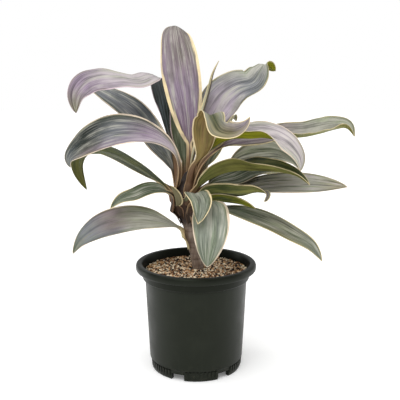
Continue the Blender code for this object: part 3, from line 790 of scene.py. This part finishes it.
leafUsual = {
    "roll": 0, "fold": 20, "petiole": 0.2, "belly": 0.5, "point": 0.75, "stalk": 8.0, "stations": 12,
}
leafForm = {
    "across": (-1.0, -0.5, 0.0, 0.5, 1.0), "blade": 0.7, "petiole": 1.3, "rib": 0.9, "seatSteps": 8,
    "stalkTaper": 0.3, "tipTaper": 0.4, "leastHalf": 1.0, "stalkLift": 10, "stalkBow": 40, "bladeBow": 10,
}
leafFine = {
    "stations": 88, "columns": 12, "crowding": 0.85, "stalkSwell": 1.45, "leastHalf": 0.4, "edgeThin": 0.35,
    "pleats": 6.5, "pleatHeight": 0.14, "groove": 0.45, "grooveWidth": 1.1, "reliefFrom": 6.0,
    "rippleLength": 21, "rippleShift": 1.7, "rippleFrom": 15.0, "apart": (61.0, 37.0),
    "sheathRows": 10, "sheathDrop": 17.0, "sheathWrap": 46.0, "sheathLayers": (0.5, 1.9), "sheathArch": 3.0,
    "sheathFlare": 0.4, "sheathClose": (0.55, 0.35), "sheathBlend": 2.2, "sheathSlope": 0.4,
}

# How each leaf looks. top and under are tones base to tip, and left and right those that the top has
# towards its two margins. These tones are partly the leaf's own colours and partly painted light and shade:
# they run darker where a leaf lies in shade and paler where its sheen catches the light. streak is the
# lighter tone that runs in lines through the top, and deep how far the darker lines go. rim is the margin's
# tone, then its widths in mm on the left and on the right, base to tip, stalk the tones of the stalk and of
# its margin, and sheathPaintedShade how far painted shade darkens the sheath towards its foot. The umber
# stalks with rust margins of the lowest leaves are darker partly as painted shade at the crown's foot.
leafLooks = {
    "upright": dict(top="plum plum lilac mauve taupe", left="plum plum lilac lilac mauve",
        rim=("cream", (4.0, 5.0, 4.5, 1.4, 0.8), (2.4, 3.4, 4.6, 3.4, 1.0)), ribTone=0.55, deep=0.5),
    "folded": dict(top="night night slate slate ash ash lilac drab",
        left="night night slate slate ash lilac lilac drab", under="night night slate slate",
        rim=("pinkLilac", (0.8, 1.2, 1.2), (0.8, 1.2, 1.2)), ripple=1.6),
    "left_back": dict(top="darkGreen slate steel steel steel drab",
        right="darkGreen moss slate slate slate moss", rim=("blush", (1.2, 1.4, 1.0), (1.6, 1.8, 1.0)),
        deep=0.4),
    "left_big": dict(top="mauve paleLilac lilac steel night slate",
        left="mauve paleLilac paleLilac lilac mauve slate", right="drab drab moss darkGreen night night",
        rim=("blush", (1.2, 1.4, 1.2, 1.0), (1.8, 2.4, 1.6, 1.0)), deep=0.6),
    "hanging_left": dict(top="night darkGreen moss olive", streak="olive",
        under="darkGreen darkGreen moss olive", rim=("olive", (1.2, 1.2), (1.2, 1.2)), deep=0.5),
    "small_left": dict(top="darkGreen fern fern seaSage", deep=0.9, stalk="umber rust", sheathPaintedShade=0.35),
    "low_left": dict(top="silver silver silver mauve steel fern",
        left="silver silver silver steel steel moss", streak="greySage", under="sage olive",
        rim=("blush", (1.0, 1.0, 1.0), (1.4, 1.8, 1.2)), deep=0.5, stalk="straw tan", sheathPaintedShade=0.85),
    "front_small": dict(top="seaSilver seaSilver seaSage", left="seaSage fern fern", under="sage olive",
        rim=("cream", (1.6, 2.0, 1.2), (1.0, 1.2, 0.8)), ribTone=0.2, deep=1.0, stalk="umber rust"),
    "front_hanging": dict(top="seaSage seaSilver seaSilver seaSage", under="sage olive",
        rim=("blush", (2.8, 3.2, 1.2), (1.2, 1.4, 0.8)), ribTone=0.9, stalk="umber rust"),
    "bract": dict(top="drab khaki", streak="straw", under="drab drab", stalk="umber rust"),
    "spear": dict(top="silver silver", streak="pearl", under="greySage mauve"),
    "upper_right": dict(top="plum lilac paleLilac steel silver", left="sage steel steel silver silver",
        under="lime lime", rim=("straw", (1.2, 1.2, 1.0), (1.2, 1.2, 1.0))),
    "front_curled": dict(top="drab drab drab moss drab paleLilac",
        left="drab drab lilac silver ash paleLilac", right="drab drab silver silver khaki paleLilac",
        streak="khaki", under="rust oliveBrown oliveBrown olive",
        rim=("cream", (1.2, 1.6, 1.2), (1.2, 1.6, 1.2))),
    "right_arch": dict(top="mauve mauve mauve ash ash ash", right="mauve mauve pearl pearl pearl silver",
        streak="pearl", under="olive lime lime", rim=("blush", (1.2, 1.6, 1.0), (1.0, 1.4, 1.0))),
    "right_long": dict(top="plum plum mauve silver sage", under="moss lime olive",
        rim=("straw", (2.4, 1.4, 1.0), (2.4, 2.4, 1.0))),
    "right_channel": dict(top="darkGreen moss moss", streak="olive", under="moss olive olive",
        rim=("straw", (1.4, 1.6), (1.8, 2.0))),
    "back_right": dict(top="moss greySage sage", rim=("blush", (1.6, 1.8), (1.6, 1.8)), deep=0.9),
    "back_right_far": dict(top="sage greySage", streak="mint"),
    "right_dark": dict(top="moss fern sage", left="moss fern fern", rim=("blush", (1.6, 1.8), (1.4, 1.6)),
        deep=0.9),
    "right_low": dict(top="taupe taupe greySage silver khaki", streak="ash",
        rim=("blush", (1.2, 1.2), (0.8, 1.0)), deep=0.9),
    "right_small": dict(top="fern taupe", streak="greySage", under="moss moss olive",
        rim=("straw", (1.6, 1.8, 1.4), (1.4, 1.6, 1.2))),
    "right_under": dict(top="fern fern", streak="mint", under="darkGreen moss lime"),
    "right_lowest": dict(top="mauve seaSage greySage seaSage", right="sage sage olive sage", deep=0.9),
    "crown_back": dict(top="fern sage", streak="mint"),
    "hook": dict(top="deepFern sage silver", streak="mint", under="darkGreen sage silver"),
    "back_low": dict(top="fern sage", streak="mint"),
    "back_left": dict(top="moss moss fern", streak="sage"),
    "back_side": dict(top="fern mauve sage", streak="mint"),
}
leafLookUsual = {
    "left": None, "right": None, "streak": "silver", "under": "moss olive",
    "rim": ("straw", (1.4, 1.5), (1.4, 1.5)), "ribTone": 0.3, "deep": 0.7, "ripple": 0.7,
    "stalk": "rust tan", "sheathPaintedShade": 0.45,
}
# The noises in a leaf's skin: detail, roughness, and how close the noise runs across, along and from
# leaf to leaf, per mm
leafNoise = {
    "bands": (1, 0.5, (0.16, 0.013, 1)), "lines": (2, 0.6, (0.55, 0.018, 1)),
    "fine": (2, 0.6, (2.2, 0.03, 1)), "patch": (3, 0.55, (0.06, 0.03, 1)),
    "tint": (2, 0.5, (0.09, 0.016, 3)), "fade": (2, 0.5, (0.02, 0.035, 1)),
}
leafSkin = {
    "upperRough": 0.4, "underRough": 0.5, "roughSpan": 0.14, "gloss": 0.2, "green": (0.93, 1.0, 0.86),
    "darkLine": (0.32, 0.34, 0.32), "fineDark": (0.42, 0.44, 0.4), "patchDark": (0.5, 0.52, 0.48),
    "edgeDark": (0.55, 0.58, 0.36), "relief": (0.35, 0.0006),
    # towards the stalk: how wide the margin, how deep the lines, and how far off the rib line
    "stalkMargin": 0.7, "stalkDeep": 0.4, "stalkRib": 3, "ribFade": 0.7, "sideBlend": 1.6,
    "underStreak": 1.2, "stalkStreak": 1.5, "underRim": 0.85,
}


def leafMaterial(name, rough):
    # tones come with the mesh; the fine lines, patches and margin follow the leaf's own coordinates
    made, tree, shader = newMaterial(name)
    grain = attribute(tree, "grain", "Vector")
    edge, rib, ribTone, deep = (attribute(tree, key) for key in ("edge", "rib", "ribTone", "deep"))
    tone, second, margin = (attribute(tree, key, "Color") for key in ("tone", "streakTone", "rimTone"))
    bands, lines, fine, patch, tint, fade = (cloud(grain, 1, *given) for given in leafNoise.values())
    streaks = calc("ADD", times(bands, 0.5), times(lines, 0.5))
    light = times(spread(streaks, 0.49, 0.62), spread(patch, 0.3, 0.62, 0.4, 1))
    dark = times(spread(streaks, 0.5, 0.38), deep)
    base = darker(spread(tint, 0.5, 0.66), tone, leafSkin["green"])
    base = mixed(times(light, 0.75), base, second)
    base = darker(dark, base, leafSkin["darkLine"])
    base = mixed(spread(fine, 0.55, 0.68, 0, 0.45), base, second)
    base = darker(spread(fine, 0.45, 0.3, 0, 0.5), base, leafSkin["fineDark"])
    base = darker(spread(patch, 0.55, 0.3, 0, 0.5), base, leafSkin["patchDark"])
    ribLine = times(spread(rib, 1.5, 0.5), spread(lines, 0.3, 0.6, 0.6, 1))
    base = mixed(times(ribLine, ribTone), base, second)
    inner = times(spread(edge, 3.2, 0.8), spread(patch, 0.35, 0.6, 0, 0.75))
    base = darker(inner, base, leafSkin["edgeDark"])
    wobble = spread(calc("ADD", edge, spread(lines, 0.3, 0.7, 1.0, -0.7)), 0.5, -0.4)
    base = mixed(times(wobble, spread(fade, 0.35, 0.55, 0.6, 1)), base, margin)
    shader.inputs["Specular IOR Level"].default_value = leafSkin["gloss"]
    roughness = spread(patch, 0.3, 0.7, rough, rough + leafSkin["roughSpan"])
    height = calc("ADD", lines, times(fine, 0.5))
    coat(shader, base, roughness, height, *leafSkin["relief"])
    return made


def leafFaces(leaf, stations, across, reach, fine=None):
    # the upper and the lower face, each a grid (station, place across, xyz), and what was measured on them
    height, angle = leaf["foot"]
    x, y, radius = caneAt(height)
    if angle is None:
        foot = (x, y, height + gap)
    else:
        out, turn = radius + reach, math.radians(angle)
        foot = (x + out * math.cos(turn), y + out * math.sin(turn), height)
    s = np.linspace(0, 1, stations + 1)
    mid = along([foot, *leaf["path"]], len(s))
    ahead = np.gradient(mid, axis=0)
    ahead /= np.linalg.norm(ahead, axis=1)[:, None]
    compass = np.radians(eased(leaf["heading"], s))
    side = np.stack([np.sin(compass), -np.cos(compass), 0 * compass], 1)
    side -= (side * ahead).sum(1)[:, None] * ahead
    side /= np.linalg.norm(side, axis=1)[:, None]
    up = np.cross(side, ahead)
    roll = np.radians(eased(leaf["roll"], s))[:, None]
    side, up = side * np.cos(roll) + up * np.sin(roll), up * np.cos(roll) - side * np.sin(roll)

    petiole, belly, point = leaf["petiole"], leaf["belly"], leaf["point"]
    u = np.clip((s - petiole) / (1 - petiole), 0, 1)
    rise = point * belly / (1 - belly)
    blade = leaf["width"] / 2 * u**rise * (1 - u) ** point / (belly**rise * (1 - belly) ** point)
    stalk = leaf["stalk"] / 2 * (1 - leafForm["stalkTaper"] * np.clip(s / petiole, 0, 1))
    stalk = stalk * np.clip((1 - s) / leafForm["tipTaper"], 0, 1)
    if fine and angle is not None:
        stalk = stalk * fine["stalkSwell"]
    half = np.maximum(np.hypot(blade, stalk), (fine or leafForm)["leastHalf"])[:, None]

    opened = np.clip((s - 0.45 * petiole) / (0.9 * petiole), 0, 1)
    opened = (opened**2 * (3 - 2 * opened))[:, None]
    lift = np.radians((1 - opened) * leafForm["stalkLift"] + opened * eased(leaf["fold"], u)[:, None])
    bow = np.radians((1 - opened) * leafForm["stalkBow"] - opened * leafForm["bladeBow"])
    bow = np.where(np.abs(bow) < 1e-3, 1e-3, bow)
    w = np.asarray(across)[None, :]
    out = half * (np.sin(lift + bow * np.abs(w)) - np.sin(lift)) / bow * np.sign(w)
    raised = half * (np.cos(lift) - np.cos(lift + bow * np.abs(w))) / bow
    if fine:
        length = np.linalg.norm(np.diff(mid, axis=0), axis=1).sum()
        inner = np.clip(opened * half / fine["reliefFrom"], 0, 1)
        raised = raised + fine["pleatHeight"] * inner * np.cos(2 * math.pi * fine["pleats"] * np.abs(w))
        raised = raised - fine["groove"] * np.exp(-((w * half / fine["grooveWidth"]) ** 2)) * inner
        wave = np.sin(s[:, None] * length / fine["rippleLength"] + fine["rippleShift"] * np.sign(w) + length)
        raised = raised + fine["ripple"] * wave * opened * w**4 * np.clip(half / fine["rippleFrom"], 0, 1)
    upper = mid[:, None] + out[:, :, None] * side[:, None] + raised[:, :, None] * up[:, None]
    normal = np.cross(np.gradient(upper, axis=1), np.gradient(upper, axis=0))
    normal /= np.linalg.norm(normal, axis=2)[:, :, None]
    thick = (leafForm["blade"] + leafForm["petiole"] * (1 - opened) * (1 - 0.5 * np.abs(w))
             + leafForm["rib"] * (1 - s[:, None]) * (1 - np.abs(w)) ** 1.5)
    if fine:
        thick = thick - fine["edgeThin"] * np.abs(w) ** 6
    return upper, upper - normal * thick[:, :, None], (s, half, opened, w)


def caneGap(points):
    x, y, radius = caneAt(points[:, 2])
    dx, dy = points[:, 0] - x, points[:, 1] - y
    halfSide = math.pi / caneLook["facets"]
    fromFlat = np.arctan2(dy, dx) % (2 * halfSide) - halfSide
    wall = (radius + caneLook["ridge"]) * math.cos(halfSide) / np.cos(fromFlat)
    return (np.hypot(dx, dy) - wall)[points[:, 2] < caneRings[-1][2]].min()


def seatReach(leaf):
    # how far from the cane the foot's midrib stands, so that the leaf's base just clears the cane
    reach = caneLook["ridge"] + gap
    if leaf["foot"][1] is None:
        return reach
    for _ in range(leafForm["seatSteps"] - 1):
        faces = leafFaces(leaf, leaf["stations"], leafForm["across"], reach)[:2]
        reach += gap - caneGap(np.concatenate([face.reshape(-1, 3) for face in faces]))
    return reach


def sheathRows(leaf, upper, lower, across):
    # the leaf's base, run on down the cane and round it, from below up to the leaf's first station
    height, angle = leaf["foot"]
    count, drop = leafFine["sheathRows"], leafFine["sheathDrop"]
    wrapStart, layerStart = leafFine["sheathClose"]
    rows = [], []
    for k in range(count):
        t = k / count
        z = height - drop * (1 - t)
        x, y, radius = caneAt(z)
        wrap = math.radians(leafFine["sheathWrap"]) * (wrapStart + (1 - wrapStart) * t)
        turn = math.radians(angle) - across * wrap  # the leaf's right side is clockwise from above
        level = z - leafFine["sheathArch"] * np.abs(across) ** 2
        slope, blend = leafFine["sheathSlope"] * (z - height), t ** leafFine["sheathBlend"]
        flare = leafFine["sheathFlare"] * np.abs(across)
        for made, grid, layer in zip(rows, (upper, lower), leafFine["sheathLayers"]):
            out = radius + layer * (layerStart + (1 - layerStart) * t) + flare
            hugging = np.stack([x + out * np.cos(turn), y + out * np.sin(turn), level], 1)
            made.append(hugging * (1 - blend) + (grid[0] + (0, 0, slope)) * blend)
    return [np.array(made) for made in rows]


def toneRow(names, s):
    return eased([linear(tones[name]) for name in names.split()], s)[:, None]


def leafMesh(node, upper, lower, skins):
    rows, columns = upper.shape[:2]
    under = rows * columns
    faces, slots = [], []
    for i in range(rows - 1):
        for j in range(columns - 1):
            a, b = i * columns + j, (i + 1) * columns + j
            faces.append((a, a + 1, b + 1, b))
            faces.append((under + b, under + b + 1, under + a + 1, under + a))
            slots += [0, 1]
        for j in (0, columns - 1):
            a, b = i * columns + j, (i + 1) * columns + j
            faces.append((a, b, under + b, under + a) if j == 0 else (b, a, under + a, under + b))
            slots.append(0)
    for i in (0, rows - 1):
        for j in range(columns - 1):
            a, b = i * columns + j, i * columns + j + 1
            faces.append((b, a, under + a, under + b) if i == 0 else (a, b, under + b, under + a))
            slots.append(0)
    name = "".join(word.capitalize() if k else word for k, word in enumerate(node.split("_")))
    points = np.concatenate([upper.reshape(-1, 3), lower.reshape(-1, 3)])
    item = meshObject(name, points, faces, skins, smoothAngle=60)
    item.data.polygons.foreach_set("material_index", slots)
    faceOutwards(item)
    return item


def paintLeaf(item, leaf, look, seed, upper, measures, shade):
    # keeps on the mesh what the skins read: distances, tones and the leaf's own coordinates
    s, half, opened, w = measures
    grid = np.ones(upper.shape[:2])
    rimName, *rimWidths = look["rim"]
    leftRim, rightRim = (eased(widths, s)[:, None] for widths in rimWidths)
    narrow, deep = leafSkin["stalkMargin"], leafSkin["stalkDeep"]
    margin = np.where(w < 0, leftRim, rightRim) * (narrow + (1 - narrow) * opened)
    values = {
        "edge": (1 - np.abs(w)) * half - margin,
        "rib": np.abs(w) * half + leafSkin["stalkRib"] * (1 - opened),
        "ribTone": look["ribTone"] * (1 - leafSkin["ribFade"] * s[:, None] ** 2),
        "deep": look["deep"] * (deep + (1 - deep) * opened),
    }
    for key, value in values.items():
        stored(item, key, "FLOAT", np.tile((value * grid).reshape(-1), 2))
    length = np.linalg.norm(np.diff(upper[:, leafFine["columns"]], axis=0), axis=1).sum()
    aside, apart = (distance * seed for distance in leafFine["apart"])
    grain = [w * leaf["width"] / 2 * grid + aside, s[:, None] * length * grid, apart * grid]
    stored(item, "grain", "FLOAT_VECTOR", np.tile(np.stack(grain, 2).reshape(-1), 2))

    stalkTone, stalkRim = (np.array(linear(tones[name])) for name in look["stalk"].split())
    plain = np.ones((*grid.shape, 1))
    toSides = np.abs(w)[:, :, None] ** leafSkin["sideBlend"]
    sideTones = [toneRow(look[key] or look["top"], s) for key in ("left", "right")]
    top = toneRow(look["top"], s) * plain * (1 - toSides) + np.where(w[:, :, None] < 0, *sideTones) * toSides
    underEnd, rim = toneRow(look["under"].split()[-1], s), toneRow(rimName, s)
    underStreak, stalkStreak = underEnd * leafSkin["underStreak"], stalkTone * leafSkin["stalkStreak"]
    colours = {
        "tone": (top, toneRow(look["under"], s), stalkTone),
        "streakTone": (toneRow(look["streak"], s), underStreak, stalkStreak),
        "rimTone": (rim, rim * leafSkin["underRim"], stalkRim),
    }
    for key, (above, below, base) in colours.items():
        both = []
        for side in (above, below):
            # the stalk's tones carry the painted shade of the sheath rows
            filled = (side * opened[:, :, None] + base * shade * (1 - opened[:, :, None])) * plain
            both.append(np.concatenate([filled, plain], axis=2).reshape(-1))
        stored(item, key, "FLOAT_COLOR", np.concatenate(both))


def makeLeaf(node, leaf, look, skins, seed):
    leaf, look = leafUsual | leaf, leafLookUsual | look
    spacing = np.linspace(0, 1, leafFine["columns"] + 1) ** leafFine["crowding"]
    across = np.concatenate([-spacing[::-1], spacing[1:]])
    fine = leafFine | {"ripple": look["ripple"]}
    upper, lower, measures = leafFaces(leaf, leafFine["stations"], across, seatReach(leaf), fine)
    s, half, opened, w = measures
    shade = 1.0
    if leaf["foot"][1] is not None:
        extraUpper, extraLower = sheathRows(leaf, upper, lower, across)
        count = len(extraUpper)
        upper, lower = np.concatenate([extraUpper, upper]), np.concatenate([extraLower, lower])
        s = np.concatenate([np.zeros(count), s])
        half, opened = (np.concatenate([np.repeat(v[:1], count, axis=0), v]) for v in (half, opened))
        # painted shade: the sheath's tones darken towards its foot, down in the crown
        shade = np.interp(np.arange(len(s)), (0, count), (look["sheathPaintedShade"], 1))[:, None, None]
    item = leafMesh(node, upper, lower, skins)
    paintLeaf(item, leaf, look, seed, upper, (s, half, opened, w), shade)
    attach(item, "root")
    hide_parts(node)


leafSkins = [leafMaterial("leafUpperSkin", leafSkin["upperRough"]),
             leafMaterial("leafUnderSkin", leafSkin["underRough"])]
for seed, (name, leaf) in enumerate(leafShapes.items()):
    makeLeaf("leaf_" + name, leaf, leafLooks[name], leafSkins, seed)
print("ti plant: leaves made,", len(leafShapes))
